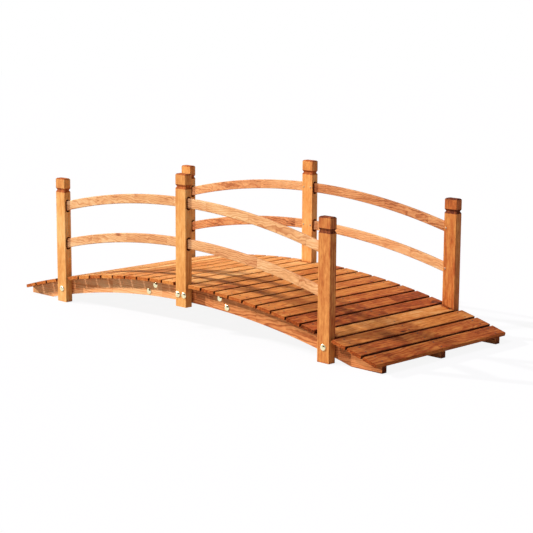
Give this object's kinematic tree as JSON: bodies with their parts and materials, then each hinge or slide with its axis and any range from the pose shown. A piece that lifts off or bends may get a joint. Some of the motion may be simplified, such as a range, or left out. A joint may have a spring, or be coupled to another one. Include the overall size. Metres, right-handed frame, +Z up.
{
  "type": "arched timber garden footbridge",
  "caption": "Low arched timber footbridge: slatted deck on three curved stringers, with curved double rails let into grooved posts on both sides.",
  "frame": {"origin": "on the ground, under the middle of the deck's crown", "axes": "+X along the bridge, +Y across it to the far railing, +Z up"},
  "size_m": [1.5232, 0.559, 0.4605],
  "materials": {
    "deck_timber": "finger-jointed softwood with a red-brown stain, satin",
    "post_timber": "softwood with a honey-brown stain, satin",
    "rail_timber": "sawn softwood with a pale honey stain and open flame grain, satin",
    "stringer_timber": "finger-jointed softwood with a red-brown stain, satin",
    "pin_steel": "dull dark steel"
  },
  "bodies": {
    "root": {"slat_01": "deck_timber", "slat_02": "deck_timber", "slat_03": "deck_timber", "slat_04": "deck_timber", "slat_05": "deck_timber", "slat_06": "deck_timber", "slat_07": "deck_timber", "slat_08": "deck_timber", "slat_09": "deck_timber", "slat_10": "deck_timber", "slat_11": "deck_timber", "slat_12": "deck_timber", "slat_13": "deck_timber", "slat_14": "deck_timber", "slat_15": "deck_timber", "slat_16": "deck_timber", "slat_17": "deck_timber", "slat_18": "deck_timber", "slat_19": "deck_timber", "slat_20": "deck_timber", "slat_21": "deck_timber", "slat_22": "deck_timber", "slat_23": "deck_timber", "slat_24": "deck_timber", "slat_25": "deck_timber", "slat_26": "deck_timber", "slat_27": "deck_timber", "post_near_left": "post_timber", "post_near_middle": "post_timber", "post_near_right": "post_timber", "rail_near_left_upper": "rail_timber", "rail_near_left_lower": "rail_timber", "rail_near_right_upper": "rail_timber", "rail_near_right_lower": "rail_timber", "post_far_left": "post_timber", "post_far_middle": "post_timber", "post_far_right": "post_timber", "rail_far_left_upper": "rail_timber", "rail_far_left_lower": "rail_timber", "rail_far_right_upper": "rail_timber", "rail_far_right_lower": "rail_timber", "stringer_near_left": "stringer_timber", "stringer_near_right": "stringer_timber", "splice_near": "stringer_timber", "stringer_centre_left": "stringer_timber", "stringer_centre_right": "stringer_timber", "splice_centre": "stringer_timber", "stringer_far_left": "stringer_timber", "stringer_far_right": "stringer_timber", "splice_far": "stringer_timber", "rail_pins_near": "pin_steel", "rail_pins_far": "pin_steel"}
  },
  "joints": []
}
